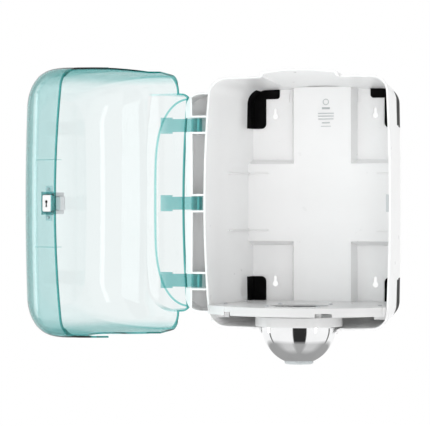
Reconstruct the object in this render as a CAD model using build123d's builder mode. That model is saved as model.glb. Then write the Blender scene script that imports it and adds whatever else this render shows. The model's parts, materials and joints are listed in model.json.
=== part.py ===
from build123d import *
from math import cos, radians, sin
import os

# Centre-feed paper dispenser for a wall: a deep rear casing with a roll shelf and a domed
# outlet, and a translucent cover that swings on three hinge arms.
#
# Frame: millimetres, +Z up, the wall is the plane Y = 0 and the front faces -Y. The origin is
# the centre of the casing's back face. Every piece is drawn with the cover shut; the pieces
# that ride on the cover are then turned to the open position about the hinge axis.

os.makedirs("parts", exist_ok=True)

# ---- driving dimensions -------------------------------------------------------------------
WALL = 3.0              # casing wall
COVER_WALL = 2.6        # cover wall
GAP = 1.0               # seam between casing and cover
TOTAL_DEPTH = 302.0     # wall to the crown of the shut cover
OPEN_ANGLE = 109.5      # the cover's open stop
HINGE_X, HINGE_Y = -161.5, -162.0

BACK_HALF_W, BACK_HALF_H = 121.5, 183.5
RIM_HALF_W, RIM_HALF_H = 146.0, 196.5
RIM_Y = -194.0                        # the casing is lofted to here, then cut to its seam
BACK_BOW, RIM_BOW = 2.0, 6.0          # how far each side swells past its corners
CORNER_R = 27.0
SEAM_MID_Y, SEAM_END_Y = -190.0, -181.5
HORN_X, HORN_END_X, HORN_Y = 62.0, 134.0, -160.0
CROSS_X, CROSS_Z, CROSS_DEPTH = 50.0, 65.0, 22.0    # the back panel's raised cross, between pockets
CROSS_SLOPE = 7.0                     # how far the cross's sides lean out towards the wall
TONGUE_HALF_W, TONGUE_TOP, TONGUE_Y = 61.0, 203.0, -174.0

OUTLET_Y = -171.0
DOME_R, DOME_TOP_Z, DOME_FOOT_Z, DOME_WALL = 56.0, -188.5, -244.0, 2.0
MOUTH_R = 22.0
COLLAR_R, COLLAR_TOP_Z = 66.0, -172.0
FLANGE_R = 61.4                       # the dome's flange, which turns inside the collar

SHELF_Z, SHELF_T, SHELF_LIP = -156.0, 2.6, 13.4
SHELF_FRONT_Y, SHELF_HOLE_R = -262.0, 46.0
SCREW_R, SCREW_HEAD_R = 1.8, 3.6
SHELF_SCREWS = ((-112, -58), (112, -58), (-121, -152), (121, -152))
COLLAR_SCREW_R = 56.0                 # the circle the collar's screws stand on

KEYHOLE_X, KEYHOLE_Z, KEYHOLE_SHIFT = 81.65, 133.6, 4.0
KEYHOLE_R, KEYHOLE_SLOT_R, KEYHOLE_RISE = 4.6, 2.3, 10.5

HINGE_Z = {"top": 119.0, "middle": -1.0, "bottom": -120.0}
ARM_HALF_H, RIB_GAP, RIB_T = 10.0, 11.0, 3.0
PIN_R, KNUCKLE_R, PIN_CLEAR, PIN_HALF_L = 2.5, 5.4, 0.06, 15.5
EAR_HALF_H, EAR_CORNER_R, EAR_WALL = 168.0, 34.0, 2.6

COVER_HALF_W, COVER_HALF_H = 146.0, 199.0
CROWN_POWER = 2.4                     # the cover's plan outline is a superellipse of this power
COVER_SECTIONS = (                    # share of the depth, drop of the top edge, corner radius
    (-0.45, 0, 29), (0, 0, 29), (0.30, 1, 33), (0.52, 5, 40),
    (0.70, 12, 46), (0.85, 24, 48), (0.95, 42, 44),
)

LOCK_Y, LOCK_Z = -206.5, -1.0
BUTTON_HALF_Y, BUTTON_HALF_Z = 7.6, 12.0
BEZEL_HALF_Y, BEZEL_HALF_Z = 10.6, 16.5
LATCH_TIP_Y = -181.5
LOCK_SCREW_RISE = 20.5                # the lock's screws stand this far above and below it


def front_plane(y):
    """A plane across the depth that faces the front: local x is X and local y is Z."""
    return Plane(origin=(0, y, 0), x_dir=(1, 0, 0), z_dir=(0, -1, 0))


def side_plane(x):
    """A plane across the width that faces right: local x is Y and local y is Z."""
    return Plane(origin=(x, 0, 0), x_dir=(0, 1, 0), z_dir=(1, 0, 0))


def prism(plane, points, amount):
    """A straight-sided block drawn on a plane."""
    with BuildPart() as block:
        with BuildSketch(plane):
            with BuildLine():
                Polyline(*points, close=True)
            make_face()
        extrude(amount=amount)
    return block.part


def brick(x, y, z):
    """A block between two limits along each axis."""
    corners = [(x[0], y[0]), (x[1], y[0]), (x[1], y[1]), (x[0], y[1])]
    return prism(Plane.XY.offset(z[0]), corners, z[1] - z[0])


def rod(x, y, z, radius):
    """An upright cylinder between two heights."""
    with BuildPart() as post:
        with BuildSketch(Plane.XY.offset(z[0])):
            with Locations((x, y)):
                Circle(radius)
        extrude(amount=z[1] - z[0])
    return post.part


def cross_rod(x, y, z, radius):
    """A level cylinder across the width, between two places along X."""
    with BuildPart() as pin:
        with BuildSketch(side_plane(x[0])):
            with Locations((y, z)):
                Circle(radius)
        extrude(amount=x[1] - x[0])
    return pin.part


def tapered_block(inset, back_y):
    """The casing's outer shape, or its inside when inset is the wall."""
    widen = (BACK_HALF_W - RIM_HALF_W) / RIM_Y * -1
    heighten = (BACK_HALF_H - RIM_HALF_H) / RIM_Y * -1
    stations = (
        (back_y, BACK_HALF_W + widen * back_y, BACK_HALF_H + heighten * back_y, BACK_BOW),
        (RIM_Y, RIM_HALF_W, RIM_HALF_H, RIM_BOW),
    )
    with BuildPart() as block:
        for y, half_w, half_h, bow in stations:
            w, h = half_w - inset, half_h - inset
            with BuildSketch(front_plane(y)) as section:
                with BuildLine():
                    ThreePointArc((w - bow, bow - h), (w, 0), (w - bow, h - bow))
                    ThreePointArc((w - bow, h - bow), (0, h), (bow - w, h - bow))
                    ThreePointArc((bow - w, h - bow), (-w, 0), (bow - w, bow - h))
                    ThreePointArc((bow - w, bow - h), (0, -h), (w - bow, bow - h))
                make_face()
                fillet(section.vertices(), CORNER_R - inset)
        loft()
    return block.part


def tongue(inset, end):
    """The raised channel along the middle of the top wall (end 1) or the bottom wall (-1)."""
    half = TONGUE_HALF_W - inset
    with BuildPart() as channel:
        for y, top in ((-1.0, BACK_HALF_H + 2.0), (TONGUE_Y, TONGUE_TOP)):
            crown, edge, foot = end * (top - inset), end * (top - 4 - inset), end * (top - 26)
            with BuildSketch(front_plane(y)):
                with BuildLine():
                    ThreePointArc((3 - half, edge), (0, crown), (half - 3, edge))
                    Polyline((half - 3, edge), (half, edge - end * 5), (half, foot))
                    Polyline((half, foot), (-half, foot), (-half, edge - end * 5), (3 - half, edge))
                make_face()
        loft()
    return channel.part


def cross(inset, back_y, depth):
    """The back panel's raised cross: a column up the middle and a band across it."""
    with BuildPart() as block:
        for y, lean in ((back_y, 0.0), (-depth, CROSS_SLOPE)):
            with BuildSketch(front_plane(y)):
                Rectangle(2 * (CROSS_X + CROSS_SLOPE / 2 - inset - lean), 500)
        loft()
        for y, lean in ((back_y, 0.0), (-depth, CROSS_SLOPE)):
            with BuildSketch(front_plane(y)):
                Rectangle(500, 2 * (CROSS_Z + CROSS_SLOPE / 2 - inset - lean))
        loft()
    return block.part


def seam_front(offset):
    """The space in front of the seam; the seam bows to the front at mid height."""
    end_y, mid_y = SEAM_END_Y - offset, SEAM_MID_Y - offset
    with BuildPart() as space:
        with BuildSketch(side_plane(-250)):
            with BuildLine():
                ThreePointArc((end_y, -190), (mid_y, 0), (end_y, 190))
                Polyline((end_y, 190), (end_y, 240), (-400, 240), (-400, -240))
                Polyline((-400, -240), (end_y, -240), (end_y, -190))
            make_face()
        extrude(amount=500)
    return space.part


def horn(side, low, clearance):
    """One of the cover's four horns, which reach back over the casing's edge."""
    return prism(
        Plane.XY.offset(low),
        [
            (side * (HORN_END_X + clearance), SEAM_END_Y + 0.3),
            (side * (HORN_X - clearance), HORN_Y + clearance),
            (side * (HORN_X - clearance), SEAM_END_Y - 15),
            (side * (HORN_END_X + clearance), SEAM_END_Y - 15),
        ],
        70,
    )


def lobe(inset):
    """The hinge barrel outside the left wall: round in plan, a rounded D from the front."""
    outline = [
        (-133, -125 - inset),
        (-160 + inset * 0.5, -130 - inset * 0.9),
        (-178 + inset * 0.9, -146 - inset * 0.4),
        (-182.5 + inset, -160),
        (-177 + inset, -172),
        (-168 + inset, -184),
        (-160 + inset, -203),
        (-150 + inset, -226),
        (-137 + inset * 0.7, -244 + inset * 0.7),
    ]
    height = EAR_HALF_H - inset
    with BuildPart() as barrel:
        with BuildSketch(Plane.XY.offset(-height)):
            with BuildLine():
                Spline(*outline)
                Polyline(outline[-1], (-110, outline[-1][1]), (-110, outline[0][1]), outline[0])
            make_face()
        extrude(amount=2 * height)
        with BuildSketch(front_plane(-50)) as front:
            with Locations((-100 - 42 + inset / 2, 0)):
                Rectangle(84 - inset, 2 * height)
            fillet(front.vertices().group_by(Axis.X)[0], EAR_CORNER_R - inset)
        extrude(amount=230, mode=Mode.INTERSECT)
        with BuildSketch(side_plane(-200)) as side:
            with BuildLine():
                Polyline((-238, -height), (-100, -height), (-100, height), (-238, height))
                ThreePointArc((-238, height), (-246 + inset, 0), (-238, -height))
            make_face()
            fillet(side.vertices().group_by(Axis.Y)[0], 42 - inset)
        extrude(amount=120, mode=Mode.INTERSECT)
    return barrel.part


def cover_block(inset):
    """The shut cover's outer shape, or its inside: rounded sections that close in to the crown."""
    w, h = COVER_HALF_W - inset, COVER_HALF_H - inset
    depth = TOTAL_DEPTH + SEAM_MID_Y - inset
    with BuildPart() as block:
        for share, drop, radius in COVER_SECTIONS:
            half_w = w * (1 - max(share, 0) ** CROWN_POWER) ** (1 / CROWN_POWER)
            across, up = half_w - RIM_BOW, h - drop - RIM_BOW
            with BuildSketch(front_plane(SEAM_MID_Y - depth * share / COVER_SECTIONS[-1][0])) as section:
                with BuildLine():
                    ThreePointArc((across, -up), (half_w, 0), (across, up))
                    ThreePointArc((across, up), (0, h - drop), (-across, up))
                    ThreePointArc((-across, up), (-half_w, 0), (-across, -up))
                    ThreePointArc((-across, -up), (0, drop - h), (across, -up))
                make_face()
                fillet(section.vertices(), radius - inset)
        loft()
    return block.part


def finish(solid, label):
    """Names a sub-part and writes it."""
    solid.label = label
    export_step(solid, f"parts/{label}.step")
    print(label, round(solid.volume), len(solid.solids()), "valid" if solid.is_valid else "INVALID")


# ---- shared envelopes ----------------------------------------------------------------------
outer_block, inner_block = tapered_block(0, 0), tapered_block(WALL, -WALL)
skin_block = tapered_block(WALL / 2, -WALL / 2)
lobe_outer, lobe_inner = lobe(0), lobe(EAR_WALL)
horns = [(side, low) for side in (1, -1) for low in (150, -220)]

# ---- casing shell, before the corner pads take their share ---------------------------------
with BuildPart() as shell:
    add(outer_block)
    add(tongue(0, 1))
    add(tongue(0, -1))
    add(lobe_outer)
    add(lobe_inner, mode=Mode.SUBTRACT)
    add(outer_block)
    add(inner_block, mode=Mode.SUBTRACT)
    add(tongue(WALL, 1), mode=Mode.SUBTRACT)
    add(tongue(WALL, -1), mode=Mode.SUBTRACT)
    add(seam_front(0), mode=Mode.SUBTRACT)
    for horn_side, horn_low in horns:
        add(horn(horn_side, horn_low, GAP), mode=Mode.SUBTRACT)
    add(brick((-70, 70), (-400, TONGUE_Y), (-240, 240)), mode=Mode.SUBTRACT)

# ---- corner pads: one at each rear corner, let into the shell and wrapping round it --------
PAD_NAMES = {(-1, 1): "top_left", (1, 1): "top_right", (-1, -1): "bottom_left", (1, -1): "bottom_right"}
with BuildPart() as skin_behind:
    add(skin_block)
    add(brick((-200, 200), (-60, -30), (-210, 210)), mode=Mode.INTERSECT)

with BuildPart() as pad_region:
    with BuildSketch(front_plane(0)):
        for sx, sz in PAD_NAMES:
            with Locations((sx * 125, sz * 148)):
                RectangleRounded(57, 60, 8)
    extrude(amount=30)
    with BuildSketch(front_plane(0)):
        for sx, sz in PAD_NAMES:
            with Locations((sx * 113, sz * 183)):
                RectangleRounded(78, 35, 5)
    extrude(amount=10)
    with BuildSketch(front_plane(0)):
        for sx, sz in PAD_NAMES:
            with Locations((sx * 128, sz * 150)):
                RectangleRounded(50, 60, 6)
    extrude(amount=54)
    add(skin_behind.part, mode=Mode.SUBTRACT)

pads = {}
for (sx, sz), name in PAD_NAMES.items():
    with BuildPart() as corner_pad:
        add(shell.part)
        add(pad_region.part, mode=Mode.INTERSECT)
        add(brick(sorted((sx, sx * 160)), (-60, 1), sorted((sz, sz * 215))), mode=Mode.INTERSECT)
    pads[name] = corner_pad.part

# ---- rear casing ---------------------------------------------------------------------------
with BuildPart() as hinge_ribs:
    for z in HINGE_Z.values():
        for side in (1, -1):
            low = z + side * (RIB_GAP + RIB_T / 2) - RIB_T / 2
            add(brick((-200, -120), (-250, -60), (low, low + RIB_T)))
    add(lobe(EAR_WALL / 2), mode=Mode.INTERSECT)
    add(outer_block, mode=Mode.SUBTRACT)
    add(seam_front(0), mode=Mode.SUBTRACT)

with BuildPart() as shelf_brackets:
    for x, y in SHELF_SCREWS:
        reach = 30 if x > 0 else -30
        add(brick(sorted((x - reach / 4, x + reach)), (y - 8, y + 8), (-176, SHELF_Z - SHELF_T)))
    add(skin_block, mode=Mode.INTERSECT)

with BuildPart() as side_ribs:
    for z in (46, -44):
        add(brick((-160, -88), (-102, 1 - CROSS_DEPTH), (z - 1, z + 1)))
        add(brick((88, 160), (-102, 1 - CROSS_DEPTH), (z - 1, z + 1)))
    add(skin_block, mode=Mode.INTERSECT)
    add(tapered_block(WALL + 4, -CROSS_DEPTH - 2), mode=Mode.SUBTRACT)

with BuildPart() as back_webs:
    add(brick((-14, 14), (1 - CROSS_DEPTH, 0), (-14, 14)))
    add(brick((-160, 160), (1 - CROSS_DEPTH, 0), (-1, 1)))
    for x in (-1, 1):
        add(brick((x * 30 - 1, x * 30 + 1), (1 - CROSS_DEPTH, 0), (-220, 220)))
    add(cross(1, 1, CROSS_DEPTH), mode=Mode.INTERSECT)
    add(tapered_block(WALL / 2, 0), mode=Mode.INTERSECT)

with BuildPart() as raised_cross:
    add(cross(0, -1, CROSS_DEPTH))
    add(skin_block, mode=Mode.INTERSECT)

with BuildPart() as cross_hollow:
    add(cross(WALL, 1, CROSS_DEPTH - WALL))
    add(tapered_block(WALL, 1), mode=Mode.INTERSECT)

with BuildPart() as casing:
    add(shell.part)
    add(pad_region.part, mode=Mode.SUBTRACT)
    add(hinge_ribs.part)
    add(shelf_brackets.part)
    add(raised_cross.part)
    add(cross_hollow.part, mode=Mode.SUBTRACT)
    add(back_webs.part)
    add(side_ribs.part)
    for z in HINGE_Z.values():
        add(brick((-200, -150), (-250, -146), (z - RIB_GAP, z + RIB_GAP)), mode=Mode.SUBTRACT)
        add(rod(HINGE_X, HINGE_Y, (z - 20, z + 20), PIN_R), mode=Mode.SUBTRACT)
    for x, y in SHELF_SCREWS:
        add(rod(x, y, (-171, -150), SCREW_R), mode=Mode.SUBTRACT)
    add(rod(0, OUTLET_Y, (-215, -184), DOME_R + 2.5), mode=Mode.SUBTRACT)
    add(brick((-DOME_R - 2.5, DOME_R + 2.5), (-300, OUTLET_Y), (-215, -184)), mode=Mode.SUBTRACT)
    with BuildSketch(front_plane(1)):
        with GridLocations(2 * KEYHOLE_X, 2 * KEYHOLE_Z, 2, 2):
            with Locations((0, KEYHOLE_SHIFT)):
                Circle(KEYHOLE_R)
            with Locations((0, KEYHOLE_SHIFT + KEYHOLE_RISE / 2)):
                Rectangle(2 * KEYHOLE_SLOT_R, KEYHOLE_RISE)
            with Locations((0, KEYHOLE_SHIFT + KEYHOLE_RISE)):
                Circle(KEYHOLE_SLOT_R)
    extrude(amount=10, mode=Mode.SUBTRACT)

# ---- strike on the right wall, which the latch hooks behind --------------------------------
with BuildPart() as strike_plate:
    with BuildSketch(Plane.XY.offset(LOCK_Z - 13)):
        with BuildLine():
            Polyline((142.3, -189), (138.2, -189), (138.2, -186.9), (141.2, -186.5))
            Polyline((141.2, -186.5), (138.7, -166), (139.4, -166), (142.3, -189))
        make_face()
    extrude(amount=26)

# ---- roll shelf, its screws and the collar under it ----------------------------------------
with BuildPart() as shelf_zone:
    add(tapered_block(WALL + 0.3, -WALL - 2.1))
    add(brick((-133, 133), (-400, -186), (-180, -150)))
    add(cross(-0.6, 1, CROSS_DEPTH + 0.6), mode=Mode.SUBTRACT)

with BuildPart() as roll_shelf:
    with BuildSketch(Plane.XY.offset(SHELF_Z - SHELF_T)):
        with BuildLine():
            ThreePointArc((-138, -190), (0, SHELF_FRONT_Y), (138, -190))
            Polyline((138, -190), (138, -5), (-138, -5), (-138, -190))
        make_face()
    extrude(amount=SHELF_T)
    with BuildSketch(Plane.XY.offset(SHELF_Z - SHELF_LIP)):
        with BuildLine():
            ThreePointArc((-138, -190), (0, SHELF_FRONT_Y), (138, -190))
            Line((138, -190), (135, -187))
            ThreePointArc((135, -187), (0, SHELF_FRONT_Y + SHELF_T), (-135, -187))
            Line((-135, -187), (-138, -190))
        make_face()
    extrude(amount=SHELF_LIP)
    add(shelf_zone.part, mode=Mode.INTERSECT)
    add(rod(0, OUTLET_Y, (-180, -150), SHELF_HOLE_R), mode=Mode.SUBTRACT)
    for x, y in SHELF_SCREWS:
        add(rod(x, y, (-180, -150), SCREW_R), mode=Mode.SUBTRACT)
    for x, width in ((-96, 12), (57, 24)):
        add(brick((x - width / 2, x + width / 2), (-262, -210), (-175, -164)), mode=Mode.SUBTRACT)
    for x, width in ((-107, 18), (-62, 18), (63, 18)):
        add(brick((x - width / 2, x + width / 2), (-11, 0), (-160, -150)), mode=Mode.SUBTRACT)
    with Locations((0, OUTLET_Y, SHELF_Z - 5)):
        with PolarLocations(COLLAR_SCREW_R, 4, 45):
            Hole(SCREW_R, 20)

with BuildPart() as shelf_screws:
    with Locations(*[(x, y, -170.5) for x, y in SHELF_SCREWS]):
        Cylinder(SCREW_R, 170.5 + SHELF_Z, align=(Align.CENTER, Align.CENTER, Align.MIN))
    with Locations(*[(x, y, SHELF_Z) for x, y in SHELF_SCREWS]):
        Cone(SCREW_HEAD_R, SCREW_HEAD_R - 1.2, 1.9, align=(Align.CENTER, Align.CENTER, Align.MIN))

with BuildPart() as collar_screws:
    with Locations((0, OUTLET_Y, -170.5)):
        with PolarLocations(COLLAR_SCREW_R, 4, 45):
            Cylinder(SCREW_R, 170.5 + SHELF_Z, align=(Align.CENTER, Align.CENTER, Align.MIN))
    with Locations((0, OUTLET_Y, SHELF_Z)):
        with PolarLocations(COLLAR_SCREW_R, 4, 45):
            Cone(SCREW_HEAD_R, SCREW_HEAD_R - 1.2, 1.9, align=(Align.CENTER, Align.CENTER, Align.MIN))


def turned(profile):
    """A ring or bowl turned about the outlet's axis from (radius, height) points."""
    with BuildPart() as ring:
        with BuildSketch(front_plane(OUTLET_Y)):
            with BuildLine():
                Polyline(*profile, close=True)
            make_face()
        revolve(axis=Axis((0, OUTLET_Y, 0), (0, 0, 1)))
    return ring.part


with BuildPart() as outlet_collar:
    add(turned([(48, COLLAR_TOP_Z), (COLLAR_R, COLLAR_TOP_Z), (COLLAR_R, -186.4), (DOME_R + 0.7, -186.4),
                (DOME_R + 0.7, -184), (63, -184), (63, COLLAR_TOP_Z - 3), (48, COLLAR_TOP_Z - 3)]))
    with Locations((0, OUTLET_Y, -175)):
        with PolarLocations(COLLAR_SCREW_R, 4, 45):
            Cylinder(5, 175 + SHELF_Z - SHELF_T, align=(Align.CENTER, Align.CENTER, Align.MIN))
    with Locations((0, OUTLET_Y, -163)):
        with PolarLocations(COLLAR_SCREW_R, 4, 45):
            Cylinder(SCREW_R, 15, mode=Mode.SUBTRACT)

# ---- domed outlet --------------------------------------------------------------------------
DOME_INSIDE_R = DOME_R - DOME_WALL


def bowl_curve(radius):
    """Start, middle and end of the bowl's arc, down to its mouth, as (radius, height)."""
    middle = (radius * cos(radians(35)), DOME_TOP_Z - radius * sin(radians(35)))
    end = (MOUTH_R, DOME_TOP_Z - (radius**2 - MOUTH_R**2) ** 0.5)
    return (radius, DOME_TOP_Z), middle, end


with BuildPart() as outlet_dome:
    with BuildSketch(front_plane(OUTLET_Y)):
        with BuildLine():
            Polyline(
                (DOME_INSIDE_R, DOME_TOP_Z), (DOME_INSIDE_R, -181), (FLANGE_R, -181), (FLANGE_R, -183.3),
                (DOME_R, -183.3), (DOME_R, DOME_TOP_Z),
            )
            bowl_outside = bowl_curve(DOME_R)
            Line(bowl_outside[-1], bowl_curve(DOME_INSIDE_R)[-1])
            ThreePointArc(*bowl_outside)
            ThreePointArc(*bowl_curve(DOME_INSIDE_R))
        make_face()
    revolve(axis=Axis((0, OUTLET_Y, 0), (0, 0, 1)))

with BuildPart() as outlet_funnel:
    add(turned([(50, -183), (53.9, -183), (53.9, -187), (20, -234), (17.5, -235.4),
                (17.5, -238), (14.6, -238), (17, -232), (50, -186)]))

with BuildPart() as tear_ring:
    add(turned([(17.7, -236), (21.9, -237.6), (21.9, -242.2), (20.2, DOME_FOOT_Z), (17.7, -242.6)]))
    with Locations((0, OUTLET_Y, DOME_FOOT_Z)):
        with PolarLocations(17.6, 16):
            Box(1.6, 1.2, 2.4, rotation=(0, 0, 45), mode=Mode.SUBTRACT)

# ---- cover, drawn shut ---------------------------------------------------------------------
with BuildPart() as cover_space:
    add(seam_front(GAP))
    for horn_side, horn_low in horns:
        add(horn(horn_side, horn_low, 0))
    add(brick((-HORN_X, HORN_X), (TONGUE_Y - GAP, 0), (-250, 250)), mode=Mode.SUBTRACT)

with BuildPart() as cover:
    add(cover_block(0))
    add(lobe_outer)
    add(cover_block(COVER_WALL), mode=Mode.SUBTRACT)
    add(lobe(COVER_WALL), mode=Mode.SUBTRACT)
    add(cover_space.part, mode=Mode.INTERSECT)
    add(rod(0, OUTLET_Y, (-240, -180), DOME_R + 4.5), mode=Mode.SUBTRACT)
    add(brick((138, 150), (LOCK_Y - BEZEL_HALF_Y, LOCK_Y + BEZEL_HALF_Y),
              (LOCK_Z - BEZEL_HALF_Z, LOCK_Z + BEZEL_HALF_Z)), mode=Mode.SUBTRACT)
    for z in (LOCK_Z - LOCK_SCREW_RISE, LOCK_Z + LOCK_SCREW_RISE):
        add(cross_rod((140.5, 147), LOCK_Y, z, SCREW_R), mode=Mode.SUBTRACT)

# ---- hinge arms and pins -------------------------------------------------------------------
arms = {}
for name, z in HINGE_Z.items():
    with BuildPart() as hinge_arm:
        add(prism(Plane.XY.offset(z - ARM_HALF_H),
                  [(-164, -162), (-159, -162), (-147.4, -214), (-151.5, -218), (-153.5, -213)],
                  2 * ARM_HALF_H))
        add(prism(Plane.XY.offset(z - ARM_HALF_H - 2.5),
                  [(-154.6, -207), (-151.4, -206), (-146, -224), (-152, -224)], 2 * ARM_HALF_H + 5))
        add(rod(HINGE_X, HINGE_Y, (z - ARM_HALF_H, z + ARM_HALF_H), KNUCKLE_R))
        add(rod(HINGE_X, HINGE_Y, (z - 20, z + 20), PIN_R + PIN_CLEAR), mode=Mode.SUBTRACT)
        add(lobe(COVER_WALL), mode=Mode.INTERSECT)
    arms[name] = hinge_arm.part

with BuildPart() as hinge_pins:
    for z in HINGE_Z.values():
        with Locations((HINGE_X, HINGE_Y, z)):
            Cylinder(PIN_R, 2 * PIN_HALF_L)

# ---- lock: a push button with a hooked tongue, in a guide on the cover's free side ---------
with BuildPart() as lock_bezel:
    add(brick((141.7, 145.9), (LOCK_Y - BEZEL_HALF_Y, LOCK_Y + BEZEL_HALF_Y),
              (LOCK_Z - BEZEL_HALF_Z, LOCK_Z + BEZEL_HALF_Z)))
    fillet(lock_bezel.faces().sort_by(Axis.X)[-1].edges(), 0.8)
    add(brick((140, 150), (LOCK_Y - BUTTON_HALF_Y - 0.4, LOCK_Y + BUTTON_HALF_Y + 0.4),
              (LOCK_Z - BUTTON_HALF_Z - 0.4, LOCK_Z + BUTTON_HALF_Z + 0.4)), mode=Mode.SUBTRACT)

with BuildPart() as lock_button:
    add(brick((137.0, 146.6), (LOCK_Y - BUTTON_HALF_Y, LOCK_Y + BUTTON_HALF_Y),
              (LOCK_Z - BUTTON_HALF_Z, LOCK_Z + BUTTON_HALF_Z)))
    fillet(lock_button.edges().filter_by(Axis.X), 2.5)
    fillet(lock_button.faces().sort_by(Axis.X)[-1].edges(), 1.0)
    with BuildSketch(Plane(origin=(146.6, LOCK_Y, LOCK_Z), x_dir=(0, 1, 0), z_dir=(1, 0, 0))):
        with Locations((0, 2.2)):
            Circle(2.2)
        with Locations((0, -2)):
            Rectangle(1.8, 7)
    extrude(amount=-1.0, mode=Mode.SUBTRACT)

with BuildPart() as latch_tongue:
    add(brick((134.5, 137.0), (-213, LATCH_TIP_Y), (LOCK_Z - 9.5, LOCK_Z + 9.5)))
    add(prism(Plane.XY.offset(LOCK_Z - 9.5),
              [(137, -186.3), (140.3, -186.3), (140.3, -184.8), (137, LATCH_TIP_Y)], 19))

with BuildPart() as latch_guide:
    add(brick((121.5, 140.7), (-218.5, -194.5), (LOCK_Z - 15.5, LOCK_Z + 15.5)))
    add(brick((139.0, 141.2), (-212, -201), (LOCK_Z - 25, LOCK_Z + 25)))
    add(brick((124.0, 150), (-216, -197), (LOCK_Z - 13, LOCK_Z + 13)), mode=Mode.SUBTRACT)
    add(brick((130.9, 150), (-200, -190), (LOCK_Z - 10.1, LOCK_Z + 10.1)), mode=Mode.SUBTRACT)
    for z in (LOCK_Z - LOCK_SCREW_RISE, LOCK_Z + LOCK_SCREW_RISE):
        add(cross_rod((136.5, 145.5), LOCK_Y, z, SCREW_R), mode=Mode.SUBTRACT)

with BuildPart() as latch_spring:
    with BuildLine() as coil_path:
        Helix(pitch=1.75, height=6.0, radius=4.0, center=(0, 0, 0), direction=(0, 0, 1))
    with BuildSketch(Plane(origin=coil_path.line @ 0, z_dir=coil_path.line % 0)):
        Circle(0.45)
    sweep(path=coil_path.line)
spring_place = Location((124.6, LOCK_Y, LOCK_Z), (0, 90, 0))

with BuildPart() as lock_screws:
    for z in (LOCK_Z - LOCK_SCREW_RISE, LOCK_Z + LOCK_SCREW_RISE):
        with Locations(Location((139.0, LOCK_Y, z), (0, 90, 0))):
            Cylinder(SCREW_R, 4.0, align=(Align.CENTER, Align.CENTER, Align.MIN))
        with Locations(Location((139.0, LOCK_Y, z), (0, -90, 0))):
            Cone(3.2, 2.2, 1.6, align=(Align.CENTER, Align.CENTER, Align.MIN))

# ---- write the pieces: those that ride on the cover are turned open ------------------------
HINGE_AXIS = Axis((HINGE_X, HINGE_Y, 0), (0, 0, 1))
fixed = {
    "casing": casing.part, "strike_plate": strike_plate.part, "roll_shelf": roll_shelf.part,
    "shelf_screws": shelf_screws.part, "collar_screws": collar_screws.part,
    "outlet_collar": outlet_collar.part, "outlet_dome": outlet_dome.part,
    "outlet_funnel": outlet_funnel.part, "tear_ring": tear_ring.part, "hinge_pins": hinge_pins.part,
}
for name, solid in fixed.items():
    finish(solid, name)
for name, solid in pads.items():
    finish(solid, f"corner_pad_{name}")
riding = {
    "cover": cover.part, "lock_bezel": lock_bezel.part, "lock_button": lock_button.part,
    "latch_tongue": latch_tongue.part, "latch_guide": latch_guide.part,
    "latch_spring": latch_spring.part.moved(spring_place), "lock_screws": lock_screws.part,
}
for name, solid in arms.items():
    riding[f"hinge_arm_{name}"] = solid
for name, solid in riding.items():
    finish(solid.rotate(HINGE_AXIS, -OPEN_ANGLE), name)
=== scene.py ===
"""Looks of the wall-hung centre-feed paper dispenser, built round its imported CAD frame.

Metres, in the CAD frame: +Z up, the wall is Y = 0 and the front faces -Y. The cover stands
open at rest; its own features are easier to say with the cover shut, so opened() turns such
a place to where it stands."""
import json
import math

import bmesh
import bpy
from mathutils import Matrix, Vector


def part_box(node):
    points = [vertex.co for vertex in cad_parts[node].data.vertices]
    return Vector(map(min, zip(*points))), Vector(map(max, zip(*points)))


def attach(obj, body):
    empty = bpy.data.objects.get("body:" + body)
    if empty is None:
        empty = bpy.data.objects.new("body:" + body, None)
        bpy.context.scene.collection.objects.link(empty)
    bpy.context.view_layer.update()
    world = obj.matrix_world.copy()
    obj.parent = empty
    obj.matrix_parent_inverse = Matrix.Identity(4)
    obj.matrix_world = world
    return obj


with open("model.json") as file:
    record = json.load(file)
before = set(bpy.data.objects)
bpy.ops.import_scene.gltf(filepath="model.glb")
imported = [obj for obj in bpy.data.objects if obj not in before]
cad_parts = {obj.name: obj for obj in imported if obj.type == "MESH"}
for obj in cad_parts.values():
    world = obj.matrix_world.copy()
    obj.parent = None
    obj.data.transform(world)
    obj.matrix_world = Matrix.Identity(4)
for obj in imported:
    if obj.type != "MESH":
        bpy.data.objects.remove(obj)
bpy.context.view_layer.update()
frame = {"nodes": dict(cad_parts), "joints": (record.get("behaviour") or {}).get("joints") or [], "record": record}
NODES = frame["nodes"]
MM = 0.001

# ---- places taken from the frame -----------------------------------------------------------
COVER_JOINT = next(j for j in frame["joints"] if j["name"] == "cover_hinge")
HINGE = Vector((COVER_JOINT["pos_m"][0], COVER_JOINT["pos_m"][1], 0))
OPEN = math.radians(COVER_JOINT["range_deg"][1])
TURN = Matrix.Rotation(-OPEN, 3, "Z")


def opened(x, y, z):
    """Where a point of the shut cover, in millimetres, stands with the cover open."""
    return HINGE + TURN @ (Vector((x, y, z)) * MM - HINGE)


def closed(place):
    """Where a point of the open cover stands with the cover shut, in metres."""
    return HINGE + TURN.inverted() @ (place - HINGE)


def middle(node_name):
    """The middle of a node's box."""
    low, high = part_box(node_name)
    return (low + high) / 2


OUTLET = middle("outlet_dome")
MARK_FACE = -22.0                     # the front of the back panel's raised cross, millimetres

# Places on the shut cover, metres. Its rim bows from SEAM_MID at mid height to SEAM_END at its ends.
SEAM_MID, SEAM_END, SEAM_HALF_HEIGHT = -0.191, -0.1825, 0.190
SEAM_BOW = (SEAM_END - SEAM_MID) / SEAM_HALF_HEIGHT**2
RIM_WIDTH = 0.0022
FREE_SIDE, HINGE_SIDE = (0.118, 0.138), (0.128, 0.134)      # where the crown turns into each side
ENDS = (0.180, 0.192)                 # where it turns into the top and bottom walls
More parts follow.
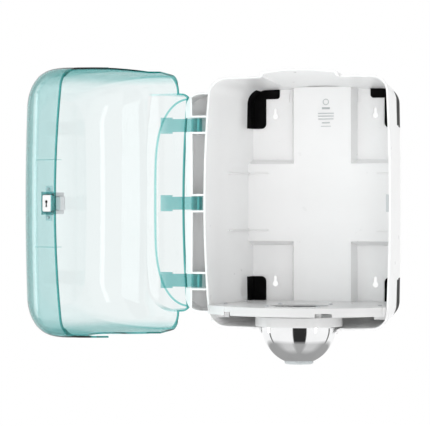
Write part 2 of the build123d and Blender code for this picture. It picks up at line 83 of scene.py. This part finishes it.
# The D-shaped step on the hinge side stands on SIDE_LINE_Y and is this deep and half as tall as this.
SIDE_LINE_Y, SIDE_LINE_DEPTH, SIDE_LINE_HALF_HEIGHT = -0.183, 0.050, 0.160
SIDE_LINE_FADE = (0.025, 0.045)       # how far off the D the line fades out, as a share of its size


# ---- material helpers ----------------------------------------------------------------------
def new_material(name):
    """An empty node material with one Principled shader wired to its output."""
    mat = bpy.data.materials.new(name)
    mat.use_nodes = True
    nodes, links = mat.node_tree.nodes, mat.node_tree.links
    nodes.clear()
    out = nodes.new("ShaderNodeOutputMaterial")
    shader = nodes.new("ShaderNodeBsdfPrincipled")
    links.new(shader.outputs["BSDF"], out.inputs["Surface"])
    return mat, nodes, links, shader


def noise(nodes, links, scale, detail=4.0, roughness=0.5):
    """A noise texture in object space, in features per metre."""
    coords = nodes.new("ShaderNodeTexCoord")
    tex = nodes.new("ShaderNodeTexNoise")
    tex.inputs["Scale"].default_value = scale
    tex.inputs["Detail"].default_value = detail
    tex.inputs["Roughness"].default_value = roughness
    links.new(coords.outputs["Object"], tex.inputs["Vector"])
    return tex.outputs["Fac"]


def ramp(nodes, links, value, stops):
    """Maps a value to colours; stops are (position, colour)."""
    node = nodes.new("ShaderNodeValToRGB")
    elements = node.color_ramp.elements
    elements[0].position, elements[1].position = stops[0][0], stops[-1][0]
    for position, _ in stops[1:-1]:
        elements.new(position)
    for element, (_, colour) in zip(elements, stops):
        element.color = (*colour, 1.0)
    links.new(value, node.inputs["Fac"])
    return node.outputs["Color"]


def spread(nodes, links, value, low, high):
    """Maps a 0..1 value to low..high."""
    node = nodes.new("ShaderNodeMapRange")
    node.inputs["To Min"].default_value = low
    node.inputs["To Max"].default_value = high
    links.new(value, node.inputs["Value"])
    return node.outputs["Result"]


def bump(nodes, links, shader, value, height, base_normal=None):
    """Raises the surface by up to height metres."""
    node = nodes.new("ShaderNodeBump")
    node.inputs["Distance"].default_value = height
    links.new(value, node.inputs["Height"])
    if base_normal is not None:
        links.new(base_normal, node.inputs["Normal"])
    links.new(node.outputs["Normal"], shader.inputs["Normal"])


def sharp_edge_mask(nodes, links):
    """A mask that is 1 on sharp outward edges."""
    geometry = nodes.new("ShaderNodeNewGeometry")
    mask = nodes.new("ShaderNodeMapRange")
    mask.inputs["From Min"].default_value = 0.52
    mask.inputs["From Max"].default_value = 0.62
    links.new(geometry.outputs["Pointiness"], mask.inputs["Value"])
    return mask.outputs["Result"]


def mixed(nodes, links, factor, first, second):
    """Mixes two colours by a mask."""
    node = nodes.new("ShaderNodeMix")
    node.data_type = "RGBA"
    links.new(factor, node.inputs["Factor"])
    for value, socket in ((first, node.inputs["A"]), (second, node.inputs["B"])):
        if isinstance(value, tuple):
            socket.default_value = (*value, 1.0)
        else:
            links.new(value, socket)
    return node.outputs["Result"]


def soft_edge(nodes, links, radius):
    """A normal that rolls over sharp edges, as a moulding's small radii do."""
    node = nodes.new("ShaderNodeBevel")
    node.samples = 6
    node.inputs["Radius"].default_value = radius
    return node.outputs["Normal"]


def moulded_plastic(name, colour, rough=(0.24, 0.36), grain=0.00002, edge=0.0009):
    """Glossy moulded plastic: faint mottling, fine grain, and rounded edges made slightly lighter in colour."""
    mat, nodes, links, shader = new_material(name)
    darker = tuple(c * 0.975 for c in colour)
    mottle = ramp(nodes, links, noise(nodes, links, 9.0), [(0.35, darker), (0.65, colour)])
    # Sharp outward edges are made slightly lighter in colour.
    lighter_edge_colour = tuple(min(1.0, c * 1.03) for c in colour)
    lighter_edges = mixed(nodes, links, sharp_edge_mask(nodes, links), mottle, lighter_edge_colour)
    links.new(lighter_edges, shader.inputs["Base Color"])
    links.new(spread(nodes, links, noise(nodes, links, 60.0), *rough), shader.inputs["Roughness"])
    bump(nodes, links, shader, noise(nodes, links, 900.0, 2.0), grain, soft_edge(nodes, links, edge))
    shader.inputs["IOR"].default_value = 1.49
    shader.inputs["Subsurface Weight"].default_value = 0.5          # light seeps through thin walls
    shader.inputs["Subsurface Radius"].default_value = (1.0, 1.0, 1.0)
    shader.inputs["Subsurface Scale"].default_value = 0.004
    return mat


def calc(nodes, links, operation, *values):
    """A Math node on sockets or numbers."""
    node = nodes.new("ShaderNodeMath")
    node.operation = operation
    for value, socket in zip(values, node.inputs):
        if isinstance(value, float):
            socket.default_value = value
        else:
            links.new(value, socket)
    return node.outputs["Value"]


def step(nodes, links, value, start, end):
    """0 below start, 1 above end, smooth between."""
    node = nodes.new("ShaderNodeMapRange")
    node.interpolation_type = "SMOOTHSTEP"
    node.inputs["From Min"].default_value = start
    node.inputs["From Max"].default_value = end
    links.new(value, node.inputs["Value"])
    return node.outputs["Result"]


def shut_measure(nodes, links, direction):
    """How far along a level direction a place on the open cover lies once shut, in metres."""
    coords = nodes.new("ShaderNodeTexCoord")
    turned = TURN @ Vector(direction)
    along = nodes.new("ShaderNodeVectorMath")
    along.operation = "DOT_PRODUCT"
    along.inputs[1].default_value = turned
    links.new(coords.outputs["Object"], along.inputs[0])
    return calc(nodes, links, "ADD", along.outputs["Value"], (Vector(direction) - turned).dot(HINGE))


def height_squared(nodes, links):
    """The square of the height above the cover's middle."""
    coords = nodes.new("ShaderNodeTexCoord")
    parts = nodes.new("ShaderNodeSeparateXYZ")
    links.new(coords.outputs["Object"], parts.inputs["Vector"])
    return calc(nodes, links, "MULTIPLY", parts.outputs["Z"], parts.outputs["Z"])


def rim_shade_mask(nodes, links):
    """1 on the cover's rim, next to the seam, which bows along the height; the rim's dark line there is painted
    shade.
    """
    depth = shut_measure(nodes, links, (0, 1, 0))
    level = calc(nodes, links, "MULTIPLY_ADD", height_squared(nodes, links), -SEAM_BOW, depth)
    return step(nodes, links, level, SEAM_MID - RIM_WIDTH * 1.15, SEAM_MID - RIM_WIDTH * 0.85)


def wall_shade_mask(nodes, links):
    """1 on the cover's free side, top and bottom walls, where painted shade deepens the tint, standing in for
    light's long path through them at a slant.
    """
    side = step(nodes, links, shut_measure(nodes, links, (1, 0, 0)), *FREE_SIDE)
    ends = step(nodes, links, height_squared(nodes, links), *(height**2 for height in ENDS))
    return calc(nodes, links, "MAXIMUM", side, ends)


def side_line_shade_mask(nodes, links):
    """1 on the thin D-shaped step that runs round the cover's hinge side, where a line of painted shade goes."""
    depth = calc(nodes, links, "SUBTRACT", SIDE_LINE_Y, shut_measure(nodes, links, (0, 1, 0)))
    across = calc(nodes, links, "POWER", calc(nodes, links, "DIVIDE", depth, SIDE_LINE_DEPTH), 2.0)
    up = calc(nodes, links, "DIVIDE", height_squared(nodes, links), SIDE_LINE_HALF_HEIGHT**2)
    shape = calc(nodes, links, "ADD", across, calc(nodes, links, "POWER", up, 2.0))
    miss = calc(nodes, links, "ABSOLUTE", calc(nodes, links, "SUBTRACT", shape, 1.0))
    line = calc(nodes, links, "SUBTRACT", 1.0, step(nodes, links, miss, *SIDE_LINE_FADE))
    hinge_side = step(nodes, links, shut_measure(nodes, links, (-1, 0, 0)), *HINGE_SIDE)
    return calc(nodes, links, "MULTIPLY", line, hinge_side)


# The edge tint is painted shade for plastic seen at a slant.
SLANT = (0.50, 0.90)                  # how slanted the clear plastic is seen where its edge tint sets in


def clear_plastic(name, tints, depth_tint, depth, rough=(0.02, 0.05)):
    """Clear tinted plastic whose colour deepens with the length of plastic looked through.

    The tints are the crown's own and then painted shade, standing in for light's long path through
    the plastic: on the walls, the hinge side's step, the rim, and edges seen at a slant."""
    tint, wall_shade_tint, line_shade_tint, rim_shade_tint, slant_shade_tint = tints
    mat, nodes, links, shader = new_material(name)
    paler = tuple(c + (1 - c) * 0.25 for c in tint)
    body = ramp(nodes, links, noise(nodes, links, 7.0), [(0.3, tint), (0.7, paler)])
    # Painted shade: the walls get a deeper tint than the crown.
    wall_shaded = mixed(nodes, links, wall_shade_mask(nodes, links), body, wall_shade_tint)
    # Painted shade: a darker line on the hinge side's step.
    line_shaded = mixed(nodes, links, side_line_shade_mask(nodes, links), wall_shaded, line_shade_tint)
    # Painted shade: a dark line along the rim.
    rim_shaded = mixed(nodes, links, rim_shade_mask(nodes, links), line_shaded, rim_shade_tint)
    grazing = nodes.new("ShaderNodeLayerWeight")
    # Painted shade: a deeper tint where the plastic is seen at a slant.
    edge = step(nodes, links, grazing.outputs["Facing"], *SLANT)
    links.new(mixed(nodes, links, edge, rim_shaded, slant_shade_tint), shader.inputs["Base Color"])
    links.new(spread(nodes, links, noise(nodes, links, 40.0), *rough), shader.inputs["Roughness"])
    bump(nodes, links, shader, noise(nodes, links, 25.0, 1.0), 0.00005)
    shader.inputs["Transmission Weight"].default_value = 1.0
    shader.inputs["IOR"].default_value = 1.03       # thin walls hardly bend what is seen through them
    shader.inputs["Coat Weight"].default_value = 0.8
    shader.inputs["Coat IOR"].default_value = 1.5
    shader.inputs["Coat Roughness"].default_value = 0.06
    out = next(n for n in nodes if n.type == "OUTPUT_MATERIAL")
    path = nodes.new("ShaderNodeLightPath")
    see_through = nodes.new("ShaderNodeBsdfTransparent")
    see_through.inputs["Color"].default_value = (*paler, 1.0)
    choose = nodes.new("ShaderNodeMixShader")
    links.new(path.outputs["Is Shadow Ray"], choose.inputs["Fac"])
    links.new(shader.outputs["BSDF"], choose.inputs[1])
    links.new(see_through.outputs["BSDF"], choose.inputs[2])
    links.new(choose.outputs["Shader"], out.inputs["Surface"])
    absorb = nodes.new("ShaderNodeVolumeAbsorption")
    absorb.inputs["Color"].default_value = (*depth_tint, 1.0)
    absorb.inputs["Density"].default_value = depth
    links.new(absorb.outputs["Volume"], out.inputs["Volume"])
    return mat


def chrome(name):
    """Chrome plate with faint wipe marks."""
    mat, nodes, links, shader = new_material(name)
    shader.inputs["Metallic"].default_value = 1.0
    greys = [(0.3, (0.88, 0.885, 0.89)), (0.7, (0.94, 0.945, 0.95))]
    links.new(ramp(nodes, links, noise(nodes, links, 30.0), greys), shader.inputs["Base Color"])
    links.new(spread(nodes, links, noise(nodes, links, 120.0, 6.0), 0.03, 0.09), shader.inputs["Roughness"])
    bump(nodes, links, shader, noise(nodes, links, 60.0), 0.00001)
    return mat


def rubber(name):
    """Soft black rubber with a fine matt grain."""
    mat, nodes, links, shader = new_material(name)
    blacks = [(0.3, (0.0012, 0.0012, 0.0013)), (0.7, (0.003, 0.003, 0.0032))]
    links.new(ramp(nodes, links, noise(nodes, links, 80.0), blacks), shader.inputs["Base Color"])
    links.new(spread(nodes, links, noise(nodes, links, 300.0), 0.5, 0.7), shader.inputs["Roughness"])
    bump(nodes, links, shader, noise(nodes, links, 1500.0, 3.0), 0.00006)
    shader.inputs["Specular IOR Level"].default_value = 0.12
    return mat


def steel(name):
    """Zinc-plated steel."""
    mat, nodes, links, shader = new_material(name)
    shader.inputs["Metallic"].default_value = 1.0
    greys = [(0.3, (0.5, 0.51, 0.53)), (0.7, (0.66, 0.66, 0.68))]
    links.new(ramp(nodes, links, noise(nodes, links, 200.0), greys), shader.inputs["Base Color"])
    links.new(spread(nodes, links, noise(nodes, links, 500.0), 0.25, 0.45), shader.inputs["Roughness"])
    bump(nodes, links, shader, noise(nodes, links, 800.0), 0.00002)
    return mat


# The crown's own tint, then painted shade for the walls, the step, the rim and slanted edges; the arm has its own
# tint four times, then painted shade at slanted edges.
COVER_TINTS_AND_SHADES = (
    (0.92, 0.928, 0.928), (0.66, 0.83, 0.83), (0.22, 0.60, 0.58), (0.02, 0.28, 0.26), (0.07, 0.35, 0.34)
)
ARM_TINTS_AND_SHADES = ((0.44, 0.72, 0.72),) * 4 + ((0.16, 0.42, 0.41),)
MATERIALS = {
    "casing_white": moulded_plastic("white_plastic", (0.93, 0.93, 0.93)),
    # Painted shade: the shelf is white plastic like the casing, coloured darker so its well-lit front comes out
    # dimmer.
    "shelf_white": moulded_plastic("shelf_plastic_painted_shade", (0.68, 0.68, 0.68)),
    "cover_teal": clear_plastic("clear_turquoise", COVER_TINTS_AND_SHADES, (0.10, 0.70, 0.70), 30.0),
    "arm_teal": clear_plastic("clear_turquoise_arm", ARM_TINTS_AND_SHADES, (0.08, 0.60, 0.60), 100.0, (0.08, 0.16)),
    "pad_black": rubber("black_rubber"),
    "dome_chrome": chrome("chrome_plate"),
    "funnel_grey": moulded_plastic("dark_grey_plastic", (0.06, 0.063, 0.066), (0.35, 0.5), 0.00005),
    "latch_grey": moulded_plastic("light_grey_plastic", (0.52, 0.55, 0.56), (0.35, 0.5), 0.00004),
    "button_white": moulded_plastic("button_plastic", (0.86, 0.86, 0.86)),
    "steel": steel("zinc_steel"),
}
SLOT_OF = {s["node"]: s["material_slot"] for s in frame["record"]["subparts"]}
for node_name, node in NODES.items():
    finish = MATERIALS[SLOT_OF[node_name]]
    if not node.material_slots:
        node.data.materials.append(finish)
    for material_slot in node.material_slots:
        material_slot.material = finish


# ---- details that only show ----------------------------------------------------------------
def add_piece(name, bm, body, slot):
    """Makes a piece of a mesh and rides it on a body, in the finish of a material slot."""
    bmesh.ops.recalc_face_normals(bm, faces=bm.faces)
    mesh = bpy.data.meshes.new(name)
    bm.to_mesh(mesh)
    bm.free()
    piece = bpy.data.objects.new(name, mesh)
    bpy.context.scene.collection.objects.link(piece)
    mesh.materials.append(MATERIALS[slot])
    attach(piece, body)


def add_slab(bm, bottom, top):
    """Joins two matching outlines into a closed slab."""
    low = [bm.verts.new(v) for v in bottom]
    high = [bm.verts.new(v) for v in top]
    bm.faces.new(low)
    bm.faces.new(high)
    for i in range(len(low)):
        j = (i + 1) % len(low)
        bm.faces.new((low[i], low[j], high[j], high[i]))


def arc(centre, radius, start, end, steps):
    """Points of an arc, angles in degrees."""
    turns = [math.radians(start + (end - start) * i / steps) for i in range(steps + 1)]
    return [(centre[0] + radius * math.cos(a), centre[1] + radius * math.sin(a)) for a in turns]


def lock_symbol():
    """A plain keyhole sign in black, let into the button's face."""
    button = closed(middle("lock_button")) / MM
    face, rise = 145.65, 1.05                   # the bottom of the recess in the button's face
    eye_middle, eye_radius = (0, 2.2), 2.15
    slot = [(-0.85, -1.0), (-1.5, -5.4), (1.5, -5.4), (0.85, -1.0)]
    outline = arc(eye_middle, eye_radius, -65, 245, 20) + slot
    bm = bmesh.new()
    levels = [[opened(x, button.y + y, button.z + z) for y, z in outline] for x in (face, face + rise)]
    add_slab(bm, *levels)
    add_piece("lock_symbol", bm, "lock", "pad_black")


def moulded_marks():
    """Plain raised bars and a ring where a moulder's marks stand on the back panel."""
    across, rise, bury = 6.0, 0.5, 0.3
    rows = (                                    # each bar's height on the panel, width and thickness
        (149, 13, 3.2), (141, 26, 1.5), (136.5, 26, 1.5), (132, 25, 1.5), (126, 13, 1.8), (120.5, 16, 1.2)
    )
    bm = bmesh.new()
    for z, width, height in rows:
        corners = ((-1, -1), (1, -1), (1, 1), (-1, 1))
        levels = []
        for y, shrink in ((MARK_FACE + bury, 0.0), (MARK_FACE - rise, 0.25)):
            half_x, half_z = width / 2 - shrink, height / 2 - shrink
            levels.append([Vector((across + sx * half_x, y, z + sz * half_z)) * MM for sx, sz in corners])
        add_slab(bm, *levels)
    ring, tube, ring_y, ring_z = 4.4, 0.5, MARK_FACE - 0.2, 159
    turns, sides = 40, 8
    loops = []
    for i in range(turns):
        turn = math.radians(360 / turns * i)
        loop = []
        for x, y in arc((ring, 0), tube, 0, 360 - 360 / sides, sides - 1):
            at = (across + x * math.cos(turn), ring_y + y, ring_z + x * math.sin(turn))
            loop.append(bm.verts.new(Vector(at) * MM))
        loops.append(loop)
    for first, second in zip(loops, loops[1:] + loops[:1]):
        for i in range(sides):
            j = (i + 1) % sides
            bm.faces.new((first[i], first[j], second[j], second[i]))
    add_piece("moulded_marks", bm, "housing", "latch_grey")


def cover_fins():
    """Two thin gussets inside the cover's free side, above and below the lock."""
    half_thick = 0.6
    outline = ((143.6, -193.5), (128.0, -193.5), (126.5, -195.0), (140.6, -231.0), (142.4, -231.0))
    for name, z in (("upper", 61.5), ("lower", -64.0)):
        bm = bmesh.new()
        levels = [[opened(x, y, z + rise) for x, y in outline] for rise in (-half_thick, half_thick)]
        add_slab(bm, *levels)
        add_piece(f"cover_fin_{name}", bm, "cover_assembly", "cover_teal")


lock_symbol()
moulded_marks()
cover_fins()


# ---- the camera's direction, which the studio is set round ---------------------------------
SIDE_ANGLE = math.radians(16.48)      # the camera stands this far round to the dispenser's right
ahead = Vector((-math.sin(SIDE_ANGLE), math.cos(SIDE_ANGLE), 0))
right = Vector((math.cos(SIDE_ANGLE), math.sin(SIDE_ANGLE), 0))


# ---- studio --------------------------------------------------------------------------------
def compass(nodes, links, place):
    """How far a place or direction lies towards the camera round the compass: 1 is straight at it."""
    flat = nodes.new("ShaderNodeVectorMath")
    flat.operation = "MULTIPLY"
    flat.inputs[1].default_value = (1, 1, 0)
    links.new(place, flat.inputs[0])
    unit = nodes.new("ShaderNodeVectorMath")
    unit.operation = "NORMALIZE"
    links.new(flat.outputs["Vector"], unit.inputs[0])
    facing = nodes.new("ShaderNodeVectorMath")
    facing.operation = "DOT_PRODUCT"
    facing.inputs[1].default_value = -ahead
    links.new(unit.outputs["Vector"], facing.inputs[0])
    around = nodes.new("ShaderNodeMapRange")
    around.inputs["From Min"].default_value = -1.0
    links.new(facing.outputs["Value"], around.inputs["Value"])
    return around.outputs["Result"]


def compass_ramp(nodes, links, around, stops):
    """Grey levels round the compass; stops are (degrees from the camera's direction, level)."""
    levels = [((1 + math.cos(math.radians(angle))) / 2, (level,) * 3) for angle, level in stops]
    return ramp(nodes, links, around, levels)


# Between the studio's lights mirrors see dark gaps: one behind the camera, one at each side.
# Levels are (degrees from the camera's direction, grey).
GAPS = ((180, 1.0), (111, 1.0), (109, 0.10), (105, 0.10), (103, 1.0), (23, 1.0), (20.5, 0.03))
# Painted shade that only mirrors see on the floor: round the compass near the dispenser, and grey at its foot.
NEAR_FLOOR_MIRROR_SHADE = ((180, 0.36), (100, 0.38), (70, 0.62), (32, 0.66), (18, 0.40))
FOOT_MIRROR_SHADE, FOOT_REACH = 0.36, (0.06, 0.24)      # the floor's grey at the foot, and where it ends
NEAR_REACH, BEHIND_SHARE = (0.46, 0.66), 0.30   # where the near floor ends, and its scale behind
FLOOR_Z, FLOOR_RADIUS, FLOOR_GLOW = -0.75, 4.0, 0.5
AMBIENT = 0.62                        # the room's brightness for diffuse light


def floor_disc():
    """A wide pale floor below the dispenser; mirrors see it grey near the dispenser's foot, painted shade that
    only reflections show.
    """
    bm = bmesh.new()
    bmesh.ops.create_circle(bm, cap_ends=True, segments=64, radius=FLOOR_RADIUS)
    mesh = bpy.data.meshes.new("floor")
    bm.to_mesh(mesh)
    bm.free()
    floor = bpy.data.objects.new("floor", mesh)
    floor.location = (OUTLET.x, OUTLET.y, FLOOR_Z)
    bpy.context.scene.collection.objects.link(floor)
    mat, nodes, links, shader = new_material("floor_paper")
    shader.inputs["Base Color"].default_value = (0.94, 0.94, 0.94, 1.0)
    shader.inputs["Roughness"].default_value = 0.9
    shader.inputs["Emission Color"].default_value = (1.0, 1.0, 1.0, 1.0)
    shader.inputs["Emission Strength"].default_value = FLOOR_GLOW
    place = nodes.new("ShaderNodeTexCoord").outputs["Object"]
    distance = nodes.new("ShaderNodeVectorMath")
    distance.operation = "LENGTH"
    links.new(place, distance.inputs[0])
    around = compass(nodes, links, place)
    near = compass_ramp(nodes, links, around, NEAR_FLOOR_MIRROR_SHADE)
    far = compass_ramp(nodes, links, around, GAPS)
    scale = spread(nodes, links, around, BEHIND_SHARE, 1.0)
    reach = calc(nodes, links, "MULTIPLY", distance.outputs["Value"], scale)
    past_foot = ramp(nodes, links, reach, [(FOOT_REACH[0], (0,) * 3), (FOOT_REACH[1], (1,) * 3)])
    past_near = ramp(nodes, links, reach, [(NEAR_REACH[0], (0,) * 3), (NEAR_REACH[1], (1,) * 3)])
    foot = mixed(nodes, links, past_foot, (FOOT_MIRROR_SHADE,) * 3, near)
    grey = mixed(nodes, links, past_near, foot, far)
    mirror = nodes.new("ShaderNodeEmission")
    links.new(grey, mirror.inputs["Color"])
    mirrored(nodes, links, shader.outputs["BSDF"], mirror.outputs["Emission"], "OUTPUT_MATERIAL")
    mesh.materials.append(mat)


def mirrored(nodes, links, plain, in_mirrors, output_type):
    """Shows one shader directly and through clear plastic, and another in reflections."""
    path = nodes.new("ShaderNodeLightPath")
    glossy, through = path.outputs["Is Glossy Ray"], path.outputs["Is Transmission Ray"]
    choose = nodes.new("ShaderNodeMixShader")
    links.new(calc(nodes, links, "SUBTRACT", glossy, through), choose.inputs["Fac"])
    links.new(plain, choose.inputs[1])
    links.new(in_mirrors, choose.inputs[2])
    output = next(n for n in nodes if n.type == output_type)
    links.new(choose.outputs["Shader"], output.inputs["Surface"])


def studio_world():
    """An even white room; in reflections it has dark gaps between its lights."""
    world = bpy.data.worlds.new("studio")
    bpy.context.scene.world = world
    world.use_nodes = True
    nodes, links = world.node_tree.nodes, world.node_tree.links
    direction = nodes.new("ShaderNodeTexCoord").outputs["Generated"]
    path = nodes.new("ShaderNodeLightPath")
    even, gapped = nodes["Background"], nodes.new("ShaderNodeBackground")
    even.inputs["Color"].default_value = (1.0, 1.0, 1.0, 1.0)
    links.new(spread(nodes, links, path.outputs["Is Diffuse Ray"], 1.0, AMBIENT), even.inputs["Strength"])
    links.new(compass_ramp(nodes, links, compass(nodes, links, direction), GAPS), gapped.inputs["Color"])
    mirrored(nodes, links, even.outputs["Background"], gapped.outputs["Background"], "OUTPUT_WORLD")


def area_light(name, place, target, size, power, shines=True):
    """A softbox, width by height, aimed at a point; it lights things or else shines in mirrors."""
    light = bpy.data.lights.new(name, "AREA")
    light.shape = "RECTANGLE"
    light.size, light.size_y = size
    light.energy = power
    lamp = bpy.data.objects.new(name, light)
    lamp.location = place
    lamp.visible_glossy, lamp.visible_diffuse = shines, not shines
    lamp.rotation_mode = "QUATERNION"
    lamp.rotation_quaternion = (Vector(target) - Vector(place)).to_track_quat("-Z", "Y")
    bpy.context.scene.collection.objects.link(lamp)


floor_disc()
studio_world()
area_light("key_left", (-1.9, -2.5, 1.1), (0, 0, 0), (2.4, 2.4), 12, False)
area_light("front", (0.85, -3.0, -0.1), (0, 0, 0), (1.8, 1.2), 20, False)
area_light("strip_right", (2.05, -1.05, 0.05), tuple(opened(0, -300, 0)), (0.26, 1.9), 3)
area_light("strip_left", (-2.7, 0.0, 0.05), tuple(opened(140, -225, 0)), (0.5, 1.9), 6)
bpy.context.scene.view_settings.view_transform = "Standard"

# ---- camera: level, a little to the right of the dispenser's front -------------------------
RANGE, FOCAL_PIXELS, IMAGE_PIXELS, SENSOR = 3.2419, 2139.7, 430, 36.0
AIM_TO_OUTLET = 0.1277                # the outlet's axis stands this far right of the view's centre
AIM_BEHIND = 0.002                    # and the camera's distance is from this far behind it
HORIZON_SHIFT = -0.029
camera_data = bpy.data.cameras.new("camera")
camera_data.sensor_width = SENSOR
camera_data.lens = FOCAL_PIXELS / IMAGE_PIXELS * SENSOR
camera_data.shift_y = HORIZON_SHIFT
camera = bpy.data.objects.new("camera", camera_data)
camera.location = Vector((OUTLET.x, OUTLET.y + AIM_BEHIND, 0)) - right * AIM_TO_OUTLET - ahead * RANGE
camera.rotation_mode = "QUATERNION"
camera.rotation_quaternion = ahead.to_track_quat("-Z", "Y")
bpy.context.scene.collection.objects.link(camera)
bpy.context.scene.camera = camera
